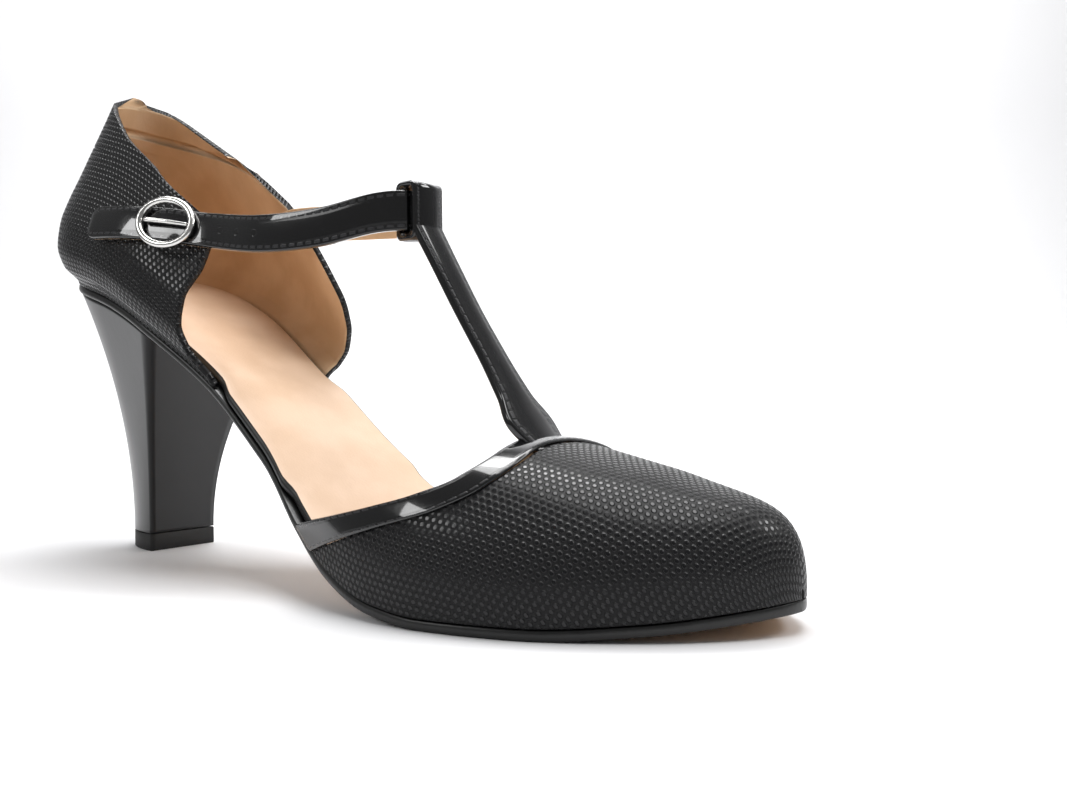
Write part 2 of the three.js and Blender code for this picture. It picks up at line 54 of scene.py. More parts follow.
# %% Sizes of the last and the upper
MM = 0.001
LENGTH = 225.0                        # sole, from the back of the seat to the toe
SEAT_HALF = 22.8                      # half width under the heel bone
WAIST_HALF = 19.8                     # half width at the narrow waist
BALL_HALF = 34.0                      # half width at the ball of the foot
SEAT_HEIGHT = 83.0                    # feather line above the floor at the back
TOE_SPRING = 4.3                      # how far the toe is lifted
SWING = 13.0                          # how far the toe turns to the inner side
INSTEP_HEIGHT = 35.0                  # top of the vamp above its feather line
TOE_HEIGHT = 19.0
QUARTER_HEIGHT = 56.0                 # topline above the seat at the back
BULGE = 5.6                           # how far the heel bone pushes the quarter out
ANKLE_PINCH = 12.0                    # how far the topline leans in
WALL = 1.7                            # leather and lining together
TRIM_RISE = 0.7                       # the patent band above the vamp's leather
OUTSOLE = 2.2
INSOLE = 3.0
GAP = 0.3                             # a glue line between neighbouring pieces

# %% Sizes of the heel, the straps and the buckle
TIP_LENGTH = 21.0
TIP_HALF = 10.5
TIP_BACK = 10.0                       # the tip's back edge, from the back of the sole
TOP_LIFT = 5.0
STRAP_HEIGHT = 9.5
STRAP_THICK = 1.6
STRAP_LEVEL = 90.0                    # the strap's middle line at the sleeve
BAR_WIDTH = 9.5
BAR_THICK = 1.8
BAR_SHIFT = 0.2                       # the bar's place off the middle
LOOP_WALL = 1.6                       # the sleeve that the ankle strap runs through
LOOP_DEPTH = 3.6
LOOP_PLAY = 0.7
LOOP_X = LENGTH * 0.594
RING_LENGTH = 18.0
RING_HEIGHT = 15.0
WIRE = 1.9
PRONG = 1.5
BALL_LEVEL = OUTSOLE + GAP
SEAT_RISE = SEAT_HEIGHT - BALL_LEVEL
SOLE_START = 0.02                     # the solids' first and last stations stop short
END_HALF = 0.02                       # no section gets thinner than this half width

# %% [markdown]
# A last, the wooden foot that a shoe is built on, has no simple formula. Its sections
# stand in a short table, and a smooth curve runs through the rows. A plain spline
# would swing past the rows. This cubic takes as its slope at a row the harmonic mean
# of the slopes on both sides, which adds no rise or dip of its own.


# %% Smooth tables
def smooth(rows):
    """Cubic pieces through the rows. The slope at a row is the harmonic mean of the slopes
    on both sides, weighted by their spans, and 0 where the values turn back."""
    data = np.array(rows, float)
    x, y = data[:, 0], data[:, 1:]
    step = np.diff(x)[:, None]
    slope = np.diff(y, axis=0) / step
    left, right = slope[:-1], slope[1:]
    rising = left * right > 0
    safe_left, safe_right = np.where(rising, left, 1), np.where(rising, right, 1)
    inner = (step[:-1] + step[1:]) / (step[:-1] / safe_left + step[1:] / safe_right)
    tangent = np.vstack([slope[:1], np.where(rising, inner, 0), slope[-1:]])

    def curve(at):
        q = np.clip(np.asarray(at, float), x[0], x[-1])
        i = np.clip(np.searchsorted(x, q, side="right") - 1, 0, len(x) - 2)
        span = (x[i + 1] - x[i])[..., None]
        t = (q - x[i])[..., None] / span
        out = (y[i] * (1 + 2 * t) * (1 - t) ** 2 + tangent[i] * span * t * (1 - t) ** 2
               + y[i + 1] * t * t * (3 - 2 * t) - tangent[i + 1] * span * t * t * (1 - t))
        return np.moveaxis(out, -1, 0)
    return curve


# %% The last's table
# Columns: place along the sole, half width, middle line, level of the feather line
sole = smooth([
    (0.000, SEAT_HALF * 0.97, -SWING * 0.28, BALL_LEVEL + SEAT_RISE),
    (0.133, SEAT_HALF, -SWING * 0.27, BALL_LEVEL + SEAT_RISE * 0.910),
    (0.222, SEAT_HALF, -SWING * 0.23, BALL_LEVEL + SEAT_RISE * 0.806),
    (0.355, WAIST_HALF, -SWING * 0.15, BALL_LEVEL + SEAT_RISE * 0.570),
    (0.444, WAIST_HALF * 1.02, -SWING * 0.17, BALL_LEVEL + SEAT_RISE * 0.383),
    (0.533, BALL_HALF * 0.72, -SWING * 0.20, BALL_LEVEL + SEAT_RISE * 0.192),
    (0.600, BALL_HALF * 0.84, -SWING * 0.14, BALL_LEVEL + SEAT_RISE * 0.077),
    (0.667, BALL_HALF * 0.945, 0, BALL_LEVEL + SEAT_RISE * 0.017),
    (0.733, BALL_HALF, SWING * 0.20, BALL_LEVEL),
    (0.822, BALL_HALF * 1.01, SWING * 0.46, BALL_LEVEL),
    (0.911, BALL_HALF * 0.97, SWING * 0.77, BALL_LEVEL + TOE_SPRING * 0.30),
    (1.000, BALL_HALF * 0.89, SWING, BALL_LEVEL + TOE_SPRING),
])
HEEL_ROUND = LENGTH * 0.124           # length over which the seat rounds off
TOE_ROUND = LENGTH * 0.298            # length over which the toe rounds off
TOE_FACE = LENGTH * 0.13              # length over which the toe's top falls away


def section(x, inset=0.0):
    """Half width, middle and level of the sole line at x. The table's width, less the
    inset, times a rounding at each end: one minus the share into the end, to a power."""
    width, middle, level = sole(x / LENGTH)
    back = np.clip((HEEL_ROUND - x) / (HEEL_ROUND - inset), 0, 1)
    front = np.clip((x - (LENGTH - TOE_ROUND)) / (TOE_ROUND - inset), 0, 1)
    ends = np.sqrt(1 - back ** 2.3) * (1 - front ** 2.05) ** 0.56
    return np.maximum((width - inset) * ends, END_HALF), middle, level


print("widest half of the sole:", section(np.linspace(1, LENGTH - 1, 500))[0].max().round(1), "mm")

# %% [markdown]
# The pack puts the shoe's box in the middle of the frame. The sole's back end and the
# heel tip's middle are known in both places, so they give the shift from the one to
# the other, and nothing has to be measured by hand.

# %% Place in the frame
TIP_MIDDLE = -SWING * 0.28 * 0.3
sole_low = np.array(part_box("outsole")[0]) / MM
tip_low, tip_high = (np.array(corner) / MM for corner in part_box("top_lift"))
DATUM = np.array([sole_low[0] - SOLE_START, (tip_low[1] + tip_high[1]) / 2 - TIP_MIDDLE, 0.0])
print("shift into the frame in mm:", DATUM)

# %% [markdown]
# Every piece is a grid of points. Neighbours in both directions give the faces, and
# the cross product of both directions gives the normals. Drawing the faces by hand or
# with modifiers is possible too, but a grid keeps its UV map in real millimetres.

# %% Grids of points
NO_TRIANGLES = np.empty((0, 3), int)


def grid_faces(rows, cols, wrap=False):
    """Quads between neighbours of a grid, closed across the columns where wrap is set."""
    across = cols if wrap else cols - 1
    i, j = np.meshgrid(np.arange(rows - 1), np.arange(across), indexing="ij")
    k = (j + 1) % cols
    corners = [i * cols + j, i * cols + k, (i + 1) * cols + k, (i + 1) * cols + j]
    return np.stack(corners, -1).reshape(-1, 4)


def normals_of(grid):
    """Cross product of the two directions of the grid, made one unit long."""
    n = np.cross(np.gradient(grid, axis=0), np.gradient(grid, axis=1))
    return n / np.maximum(np.linalg.norm(n, axis=-1, keepdims=True), 1e-9)


def arc(grid, axis):
    """Distance along a grid line from its start: the running sum of its steps."""
    step = np.linalg.norm(np.diff(grid, axis=axis), axis=-1)
    zero = np.zeros_like(np.take(step, [0], axis=axis))
    return np.concatenate([zero, np.cumsum(step, axis=axis)], axis=axis)


# %% [markdown]
# A wall of leather has an outside, a lining and a cut edge all round. Solidify could
# make it from the outside alone. Here the wall is made with the grid, because lining
# and outside then get their own materials at once.


# %% Walls and closed bodies
def shell(grid, wall, uv):
    """The grid, its copy pushed in along the normals, and a strip round the border.
    Returns points, quads, material index (1 for the lining) and UV."""
    rows, cols = grid.shape[:2]
    inner = grid - normals_of(grid) * wall
    outside = grid_faces(rows, cols)
    lining = outside[:, ::-1] + rows * cols
    edge = np.concatenate([
        np.arange(cols), np.arange(1, rows) * cols + cols - 1,
        (rows - 1) * cols + np.arange(cols - 2, -1, -1), np.arange(rows - 2, 0, -1) * cols])
    ahead = np.roll(edge, -1)
    rim = np.stack([ahead, edge, edge + rows * cols, ahead + rows * cols], -1)
    kind = np.concatenate([np.zeros(len(outside)), np.ones(len(lining)), np.zeros(len(rim))])
    points = np.concatenate([grid.reshape(-1, 3), inner.reshape(-1, 3)])
    return points, np.vstack([outside, lining, rim]), kind, np.vstack([uv, uv])


def capped(rings):
    """Rings of equal count joined into a closed body, with a fan of triangles at each end."""
    rows, cols = rings.shape[:2]
    hubs = np.stack([rings[0].mean(0), rings[-1].mean(0)])
    j = np.arange(cols)
    k = (j + 1) % cols
    first = np.stack([np.full(cols, rows * cols), k, j], -1)
    last = np.stack([np.full(cols, rows * cols + 1), (rows - 1) * cols + j, (rows - 1) * cols + k], -1)
    points = np.vstack([rings.reshape(-1, 3), hubs])
    return points, grid_faces(rows, cols, wrap=True), np.vstack([first, last])


def outward(points, quads, tris=NO_TRIANGLES):
    """Turns all faces over where the volume that they enclose, a third of the sum of
    triple products, comes out negative."""
    split = np.vstack([quads[:, :3], quads[:, [0, 2, 3]], tris])
    a, b, c = (points[split[:, i]] for i in range(3))
    if np.einsum("ij,ij->", a, np.cross(b, c)) < 0:
        quads, tris = quads[:, ::-1], tris[:, ::-1]
    return points, quads, tris


# %% Hand a piece to the frame
def make_piece(name, body, materials, node, index=None, uv=None):
    """Puts points, quads and triangles into a mesh in metres, with the material index of
    each face and a UV pair for each vertex, and hands the piece to the frame."""
    points, quads, tris = body
    faces = quads.tolist() + tris.tolist()
    kinds = np.zeros(len(faces), np.int32)
    if index is not None:
        kinds[:len(index)] = index
    mesh = bpy.data.meshes.new(name)
    mesh.from_pydata(((points + DATUM) * MM).tolist(), [], faces)
    for material in materials:
        mesh.materials.append(material)
    mesh.polygons.foreach_set("material_index", kinds)
    mesh.polygons.foreach_set("use_smooth", np.ones(len(faces), bool))
    if uv is not None:
        layer = mesh.uv_layers.new(name="surface_mm")
        corner = np.empty(len(mesh.loops), np.int32)
        mesh.loops.foreach_get("vertex_index", corner)
        layer.data.foreach_set("uv", uv[corner].ravel().astype(np.float32))
    mesh.update()
    piece = bpy.data.objects.new(name, mesh)
    bpy.context.scene.collection.objects.link(piece)
    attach(piece, "root")
    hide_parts(node)
    print(name, len(points), "points", len(faces), "faces")


# %% [markdown]
# Shader maths reads best as arithmetic. A small class wraps a number socket, so that
# adding or multiplying two values lays down the Math node between them. A second one
# holds the material and has one method that makes any other node.


# %% Numbers in a shader
class Value:
    """A number socket that can be used in arithmetic."""

    def __init__(self, shader, socket):
        self.shader = shader
        self.socket = socket

    def math(self, operation, *inputs):
        """A Math node with these inputs in order."""
        node = self.shader.node("ShaderNodeMath", {"operation": operation}, inputs)
        return Value(self.shader, node.outputs[0])

    def __add__(self, other):
        return self.math("ADD", self, other)

    def __radd__(self, other):
        return self.math("ADD", other, self)

    def __sub__(self, other):
        return self.math("SUBTRACT", self, other)

    def __rsub__(self, other):
        return self.math("SUBTRACT", other, self)

    def __mul__(self, other):
        return self.math("MULTIPLY", self, other)

    def __rmul__(self, other):
        return self.math("MULTIPLY", other, self)

    def __truediv__(self, other):
        return self.math("DIVIDE", self, other)

    def __rtruediv__(self, other):
        return self.math("DIVIDE", other, self)

    def fraction(self):
        """What is left of the value after its whole part."""
        return self.math("FRACT", self)

    def size(self):
        """The value without its sign."""
        return self.math("ABSOLUTE", self)

    def root(self):
        """The square root."""
        return self.math("SQRT", self)

    def least(self, other):
        """The smaller of two values."""
        return self.math("MINIMUM", self, other)

    def fade(self, low, high):
        """0 below low, 1 above high, with a soft step between."""
        settings = {"interpolation_type": "SMOOTHSTEP"}
        node = self.shader.node("ShaderNodeMapRange", settings, [self, low, high, 0.0, 1.0])
        return Value(self.shader, node.outputs[0])


# %% A material and its nodes
class Shader:
    """A material whose Principled node takes constants at once and links later."""

    def __init__(self, name, **constants):
        self.material = bpy.data.materials.new(name)
        self.material.use_nodes = True
        self.tree = self.material.node_tree
        self.surface = self.tree.nodes["Principled BSDF"]
        for socket, value in constants.items():
            self.surface.inputs[socket.replace("_", " ")].default_value = value

    def node(self, kind, settings=None, inputs=()):
        """Adds a node, makes its settings first and then fills its sockets by place or name."""
        node = self.tree.nodes.new(kind)
        for key, value in (settings or {}).items():
            setattr(node, key, value)
        for key, value in inputs.items() if isinstance(inputs, dict) else enumerate(inputs):
            link = value.socket if isinstance(value, Value) else value
            if isinstance(link, bpy.types.NodeSocket):
                self.tree.links.new(link, node.inputs[key])
            else:
                node.inputs[key].default_value = link
        return node

    def uv(self):
        """The two numbers of the piece's own UV map."""
        place = self.node("ShaderNodeUVMap").outputs[0]
        split = self.node("ShaderNodeSeparateXYZ", None, [place])
        return Value(self, split.outputs[0]), Value(self, split.outputs[1])

    def noise(self, scale, detail=2.0):
        """Noise on Object coordinates, with this many cells in a metre."""
        place = self.node("ShaderNodeTexCoord").outputs["Object"]
        inputs = {"Vector": place, "Scale": scale, "Detail": detail}
        return Value(self, self.node("ShaderNodeTexNoise", None, inputs).outputs[0])

    def mix(self, factor, low, high):
        """A colour between low, at factor 0, and high, at factor 1."""
        return self.node("ShaderNodeMix", {"data_type": "RGBA"}, {0: factor, 6: low, 7: high}).outputs[2]

    def set(self, socket, value):
        """Links a value or a colour to a socket of the Principled node."""
        link = value.socket if isinstance(value, Value) else value
        self.tree.links.new(link, self.surface.inputs[socket])

    def bump(self, height, distance, strength):
        """Lets a height, in shares of the distance in metres, tilt the normal."""
        inputs = {"Height": height, "Distance": distance, "Strength": strength}
        self.set("Normal", self.node("ShaderNodeBump", None, inputs).outputs[0])


# %% [markdown]
# The upper's leather carries small glossy raised dots on a matt ground, set like a
# honeycomb. Real dots would cost millions of faces, and at this distance a bump does
# as well. Two lattices, one moved by half a cell both ways, make the honeycomb, and
# the nearer of their two centres gives the distance to a dot.

# %% Textured leather
DOT_PITCH = 1.62
DOT_RADIUS = 0.62
DOT_HEIGHT = 0.35 * MM
MATT = 0.60                           # roughness of the ground between the dots
DOT_GLOSS = 0.36                      # how much smoother a dot is
GROUND_BLACK = (0.0025, 0.0025, 0.003, 1)
DOT_BLACK = (0.007, 0.007, 0.008, 1)


def textured_leather():
    """Dot mask: one minus a soft step over the distance to the nearest lattice centre."""
    s = Shader("textured_leather", IOR=1.5, Specular_IOR_Level=0.36)
    u, v = s.uv()
    row = DOT_PITCH * math.sqrt(3)

    def squared(shift):
        """Squared distance to the centre of the lattice cell, moved by the shift."""
        a = ((u / DOT_PITCH + shift).fraction() - 0.5) * DOT_PITCH
        b = ((v / row + shift).fraction() - 0.5) * row
        return a * a + b * b

    distance = squared(0.0).least(squared(0.5)).root()
    dot = 1.0 - distance.fade(DOT_RADIUS * 0.62, DOT_RADIUS * 1.12)
    grain = s.noise(900.0, 3.0)
    uneven = s.noise(60.0, 2.0)
    s.set("Base Color", s.mix(dot, GROUND_BLACK, DOT_BLACK))
    s.set("Roughness", MATT - dot * (DOT_GLOSS + uneven * 0.10))
    s.bump(dot + grain * 0.12, DOT_HEIGHT, 0.9)
    return s.material


TEXTURED = textured_leather()
print("textured leather with dots every", DOT_PITCH, "mm")

# %% [markdown]
# Patent leather is a thick clear film over black leather. The coat of the Principled
# node is that film. The leather under it waves a little, and a row of stitches pulls
# in beside each edge. The strip's UV runs along it in millimetres and across it from
# -1 at one edge to 1 at the other, so one material fits strips of any width.

# %% Patent leather
STITCH_PITCH = 2.4
STITCH_IN = 0.76                      # place of the row between middle 0 and edge 1
HOLE_RADIUS = 1.0
PATENT_ROUGH = 0.16
WAVE_HEIGHT = 0.5 * MM
PATENT_BLACK = (0.0035, 0.0035, 0.004, 1)
THREAD_BLACK = (0.022, 0.022, 0.024, 1)
# painted shade: a near-black that stands in for the dark inside of a punched hole
HOLE_SHADE_BLACK = (0.001, 0.001, 0.001, 1)


def patent_leather(name, holes=()):
    """Height: two noises, less a groove along the stitch row, plus the stitches, less
    the punched holes at the given places along the strip."""
    s = Shader(name, IOR=1.45, Specular_IOR_Level=0.25, Coat_Weight=1.0, Coat_Roughness=0.04)
    along, side = s.uv()
    off_row = (side.size() - STITCH_IN).size()
    off_stitch = ((along / STITCH_PITCH).fraction() - 0.5).size()
    stitch = (1.0 - off_row.fade(0.02, 0.10)) * (1.0 - off_stitch.fade(0.28, 0.40))
    groove = 1.0 - off_row.fade(0.03, 0.24)
    waves = s.noise(55.0, 2.0) * 0.8 + s.noise(240.0, 2.0) * 0.16
    height = waves - groove * 0.35 + stitch * 0.55
    colour = s.mix(stitch, PATENT_BLACK, THREAD_BLACK)
    for place in holes:
        ahead = along - place
        off_hole = (ahead * ahead + side * side * (STRAP_HEIGHT / 2) ** 2).root()
        hole = 1.0 - off_hole.fade(HOLE_RADIUS * 0.75, HOLE_RADIUS)
        height = height - hole * 3.0
        # Painted shade: each punched hole is coloured near-black in place of the shade inside it.
        colour = s.mix(hole, colour, HOLE_SHADE_BLACK)
    s.set("Base Color", colour)
    s.set("Roughness", PATENT_ROUGH + stitch * 0.35)
    s.bump(height, WAVE_HEIGHT, 0.5)
    return s.material


PATENT = patent_leather("patent_leather")
print("patent leather with a stitch every", STITCH_PITCH, "mm")

# %% [markdown]
# The plain finishes differ only in colour, gloss and the size of their grain: the tan
# lining and sock, the painted edge, the leather underside, the lacquered heel, its
# rubber tip and the polished metal. One function makes them all.


# %% Plain finishes
def grained(name, dark, light, roughness, scale, depth, **constants):
    """Colour and roughness drift with a wide noise, and a fine one lifts the surface."""
    s = Shader(name, **constants)
    drift, fine = s.noise(scale * 0.06, 3.0), s.noise(scale, 4.0)
    s.set("Base Color", s.mix(drift.fade(0.3, 0.7), (*dark, 1), (*light, 1)))
    s.set("Roughness", roughness - 0.06 + drift * 0.12)
    s.bump(fine, depth * MM, 0.6)
    print(name, "with a grain of", round(1 / scale / MM, 2), "mm")
    return s.material


LINING = grained("lining_leather", (0.60, 0.39, 0.22), (0.70, 0.48, 0.29), 0.50, 1300.0, 0.12)
SOCK = grained("sock_leather", (0.66, 0.46, 0.31), (0.72, 0.52, 0.37), 0.46, 1500.0, 0.12)
EDGE = grained("painted_edge", (0.004, 0.004, 0.004), (0.010, 0.010, 0.010), 0.34, 900.0, 0.10)
UNDERSIDE = grained("sole_leather", (0.46, 0.27, 0.13), (0.58, 0.36, 0.19), 0.52, 1000.0, 0.12)
LACQUER = grained("heel_lacquer", (0.003, 0.003, 0.0035), (0.005, 0.005, 0.006), 0.30, 300.0, 0.04,
                  Specular_IOR_Level=0.35, Coat_Weight=0.2, Coat_Roughness=0.15)
RUBBER = grained("tip_rubber", (0.008, 0.008, 0.008), (0.016, 0.016, 0.016), 0.62, 1400.0, 0.10)
METAL = grained("polished_metal", (0.72, 0.71, 0.69), (0.80, 0.79, 0.77), 0.17, 700.0, 0.02,
                Metallic=1.0)

# %% [markdown]
# The vamp covers the toes. It could be sculpted, but the last gives it as a formula:
# across the foot it is a rounded arch, and its crest falls to the toe. Lines of one
# angle run from the cut edge to the toe, so the edge is exact and the toe closes in
# one round point.

# %% The last's top
crest = smooth([
    (0.49, INSTEP_HEIGHT * 1.15), (0.60, INSTEP_HEIGHT * 1.12), (0.70, INSTEP_HEIGHT * 1.04),
    (0.755, INSTEP_HEIGHT * 0.985), (0.82, INSTEP_HEIGHT * 0.89),
    (0.865, TOE_HEIGHT + (INSTEP_HEIGHT - TOE_HEIGHT) * 0.58),
    (0.907, TOE_HEIGHT + (INSTEP_HEIGHT - TOE_HEIGHT) * 0.36),
    (0.955, TOE_HEIGHT + (INSTEP_HEIGHT - TOE_HEIGHT) * 0.14), (1.00, TOE_HEIGHT),
])
FULLNESS = 0.9                        # below 1 the arch is fuller than an ellipse
SWELL = 1.5                           # how far the sides swell over the sole


def arch(x, angle, proud=0.0):
    """A point of the last's top. Across: half width times |cos| to a power, plus a swell
    times |sin 2 angle|. Up: height times sin to the same power. Angle 0 is the outer side."""
    half, middle, level = section(x, -proud)
    front = np.clip((x - (LENGTH - TOE_FACE)) / (TOE_FACE + proud), 0, 1)
    height = np.maximum((crest(x / LENGTH)[0] + proud) * (1 - front ** 5) ** 0.4, END_HALF)
    c = np.cos(angle)
    swell = SWELL * np.minimum(1, half / WAIST_HALF) * np.abs(np.sin(2 * angle))
    reach = half * np.abs(c) ** FULLNESS + swell
    rise = height * np.maximum(np.sin(angle), 0) ** FULLNESS
    return np.stack([x + 0 * angle, middle - np.sign(c) * reach, level + rise], -1)


def crossing(inside, low, high, halvings=46):
    """Halves the span again and again until only the point is left where inside() ends."""
    for _ in range(halvings):
        middle = (low + high) / 2
        keep = inside(middle)
        low, high = np.where(keep, middle, low), np.where(keep, high, middle)
    return (low + high) / 2


# %% The throat's two cut edges
def edge_line(rows):
    """x of a cut edge at a height: rows of place along the sole and height in insteps."""
    curve = smooth([(BALL_LEVEL + rise * INSTEP_HEIGHT, share * LENGTH) for share, rise in rows])
    return lambda z: curve(z)[0]


THROAT = edge_line([
    (0.515, 0.38), (0.560, 0.46), (0.610, 0.53), (0.662, 0.61), (0.705, 0.69), (0.738, 0.79),
    (0.752, 0.92), (0.748, 1.06), (0.735, 1.22)])
TRIM = edge_line([
    (0.522, 0.15), (0.560, 0.25), (0.610, 0.36), (0.676, 0.49), (0.735, 0.61), (0.768, 0.74),
    (0.780, 0.88), (0.768, 1.04), (0.745, 1.24)])
EVEN_ANGLES = np.linspace(0, math.pi, 141)
ANGLES = (1 - np.cos(EVEN_ANGLES)) / 2 * 0.35 * math.pi + EVEN_ANGLES * 0.65


def arch_edge(line, proud=0.0):
    """Where each line of one angle on the arch meets a cut edge."""
    low, high = np.full_like(ANGLES, LENGTH * 0.5), np.full_like(ANGLES, LENGTH * 0.97)
    return crossing(lambda x: x < line(arch(x, ANGLES, proud)[..., 2]), low, high)


print("the throat's edge starts at", arch_edge(THROAT).min().round(1), "mm along the sole")


# %% Vamp
def across_arch(x, angle, chords=20):
    """Distance over the arch from its crest to an angle, summed over short chords."""
    t = np.linspace(0, 1, chords + 1)
    between = math.pi / 2 + (angle[..., None] - math.pi / 2) * t
    points = arch(np.broadcast_to(x[..., None], between.shape), between)
    chord = np.linalg.norm(np.diff(points, axis=-2), axis=-1)
    return chord.sum(-1) * np.sign(angle - math.pi / 2)


def vamp(rows=130, seam=0.05):
    """Columns of one angle, from the band's far edge to the toe, closer at the toe."""
    share = np.sin(np.linspace(0, math.pi / 2, rows))[:, None]
    start = arch_edge(TRIM)[None, :] + seam
    x = start + (LENGTH - SOLE_START - start) * share
    angle = np.broadcast_to(ANGLES[None, :], x.shape)
    grid = arch(x, angle)
    along = arc(grid[::-1], 0)[::-1]
    uv = np.stack([along, across_arch(x, angle)], -1).reshape(-1, 2)
    points, quads, kind, uv = shell(grid, WALL, uv)
    make_piece("vamp_leather", outward(points, quads), (TEXTURED, LINING), "vamp",
               kind, uv)


vamp()

# %% [markdown]
# One patent strip binds the throat and runs up as the T-bar, and a sleeve at its top
# holds the ankle strap. The band lies on the arch between the two cut edges, a little
# proud of the vamp, and its borders sink as a folded edge does.


# %% Throat band
def throat_band(rows=26, fold=0.9, sink=0.45):
    """The arch between both cut edges, raised, and sunk near each border by the square of
    the share into the fold."""
    share = np.linspace(0, 1, rows)[:, None]
    low = arch_edge(THROAT, TRIM_RISE)
    width = np.maximum(arch_edge(TRIM, TRIM_RISE), low + 0.5) - low
    x = low + width * share
    grid = arch(x, np.broadcast_to(ANGLES[None, :], x.shape), TRIM_RISE)
    into_fold = np.clip(1 - np.minimum(share, 1 - share) * width / fold, 0, 1)
    grid = grid - normals_of(grid) * (into_fold ** 2 * sink)[..., None]
    uv = np.stack([arc(grid, 1), np.broadcast_to(share * 2 - 1, x.shape)], -1).reshape(-1, 2)
    points, quads, kind, uv = shell(grid, WALL + TRIM_RISE * 0.8, uv)
    return outward(points, quads), kind, uv


# %% [markdown]
# A strap is a flat section with rounded edges carried along a path. A curve with a
# bevel could do that, but its UV map would not run in millimetres, and the stitches
# need that.


# %% Strips carried along a path
CORNER_POINTS = 5


def rounded(width, height, corner):
    """A rectangle with quarter circles at its corners, as a closed row of points."""
    turn = np.linspace(0, math.pi / 2, CORNER_POINTS)
    parts = []
    for k, (sx, sy) in enumerate(((1, 1), (-1, 1), (-1, -1), (1, -1))):
        a = turn + k * math.pi / 2
        parts.append(np.stack([sx * (width / 2 - corner) + corner * np.cos(a),
                               sy * (height / 2 - corner) + corner * np.sin(a)], -1))
    return np.vstack(parts)


def swept(middle, out, side, widths, thick, corner, puff):
    """A rounded section at each point of the path, with its face crowned by a parabola."""
    rings = []
    for i, width in enumerate(widths):
        profile = rounded(width, thick, corner)
        crown = puff * (1 - (2 * profile[:, 0] / width) ** 2) * np.sign(profile[:, 1]).clip(0)
        lift = (profile[:, 1:] + crown[:, None]) * out[i]
        rings.append(middle[i] + profile[:, :1] * side[i] + lift)
    return np.array(rings)


def strip_uv(rings, widths):
    """UV of a swept strip: distance along its middle, and -1 to 1 across it."""
    along = arc(rings.mean(1)[:, None], 0)[:, 0]
    side = rings[:, 0] - rings[:, CORNER_POINTS]
    side = side / np.linalg.norm(side, axis=-1, keepdims=True)
    off_middle = rings - rings.mean(1, keepdims=True)
    share = np.einsum("ijk,ik->ij", off_middle, side) / (widths[:, None] / 2)
    uv = np.stack([np.broadcast_to(along[:, None], share.shape), share], -1).reshape(-1, 2)
    return np.vstack([uv, [[0, 0], [along[-1], 0]]])


# %% T-bar
BAR_FOOT = INSTEP_HEIGHT * 1.03 + BALL_LEVEL
# Columns: way up the bar, place along the sole, rise from the foot to the strap, width
bar_line = smooth([
    (0.00, 0.772, -0.09, 1.10), (0.10, 0.745, 0.03, 1.55), (0.22, 0.724, 0.15, 1.12),
    (0.40, 0.695, 0.33, 0.92), (0.60, 0.663, 0.53, 0.88), (0.80, 0.632, 0.74, 0.90),
    (1.00, 0.604, 0.93, 0.96),
])


def t_bar(steps=96):
    """The bar's section carried from under the vamp's peak up to the sleeve."""
    share, rise, width = bar_line(np.linspace(0, 1, steps))
    x = share * LENGTH
    z = BAR_FOOT + rise * (STRAP_LEVEL - BAR_FOOT)
    middle = np.stack([x, np.full_like(x, BAR_SHIFT), z], -1)
    along = np.gradient(middle, axis=0)
    along /= np.linalg.norm(along, axis=-1, keepdims=True)
    out = np.stack([along[:, 2], 0 * x, -along[:, 0]], -1)
    side = np.broadcast_to(np.array([0, 1.0, 0]), out.shape)
    widths = width * BAR_WIDTH
    rings = swept(middle, out, side, widths, BAR_THICK, 0.5, 0.35)
    return outward(*capped(rings)), strip_uv(rings, widths)


# %% Sleeve
def sleeve():
    """A rounded band bent round the ankle strap: outlines from one end to the other on the
    outside, and back through the inside."""
    places = np.array([-0.5, -0.46, 0.46, 0.5]) * BAR_WIDTH
    depth, height = LOOP_DEPTH, STRAP_HEIGHT + 2 * LOOP_PLAY
    rings = []
    for y, less in zip(places, (0.45, 0.0, 0.0, 0.45)):
        wall = 2 * LOOP_WALL - 2 * less
        outline = rounded(depth + wall, height + wall, 1.7 - less)
        rings.append(np.insert(outline, 1, y, axis=1))
    for y in places[::-1]:
        rings.append(np.insert(rounded(depth, height, 0.9), 1, y, axis=1))
    rings.append(rings[0])
    grid = np.array(rings) + [LOOP_X, BAR_SHIFT, STRAP_LEVEL]
    share = np.array([-1, -0.92, 0.92, 1, 1, 0.92, -0.92, -1, -1])
    uv = np.stack([arc(grid, 1), np.broadcast_to(share[:, None], grid.shape[:2])], -1)
    quads = grid_faces(*grid.shape[:2], wrap=True)
    return outward(grid.reshape(-1, 3), quads), uv.reshape(-1, 2)


# %% Join the strip
def throat_and_bar():
    """Puts the band, the bar and the sleeve into one mesh; only the band has a lining."""
    band, kind, band_uv = throat_band()
    (bar, bar_uv), (loop, loop_uv) = t_bar(), sleeve()
    bodies = (band, bar, loop)
    starts = np.cumsum([0, len(band[0]), len(bar[0])])
    points = np.vstack([body[0] for body in bodies])
    quads = np.vstack([body[1] + start for body, start in zip(bodies, starts)])
    tris = np.vstack([body[2] + start for body, start in zip(bodies, starts)])
    uv = np.vstack([band_uv, bar_uv, loop_uv])
    make_piece("throat_trim_leather", (points, quads, tris), (PATENT, LINING),
               "throat_trim_and_t_bar", kind, uv)


throat_and_bar()

# %% [markdown]
# The quarter wraps the heel. It stands on the sole line of the seat, and each level
# pushes that line out or in along its own normal: out where the heel bone is, in
# towards the ankle. A scaled copy of the line would shrink the back as well. Topline
# and front edge are drawn in the side view, one table for each side of the foot.

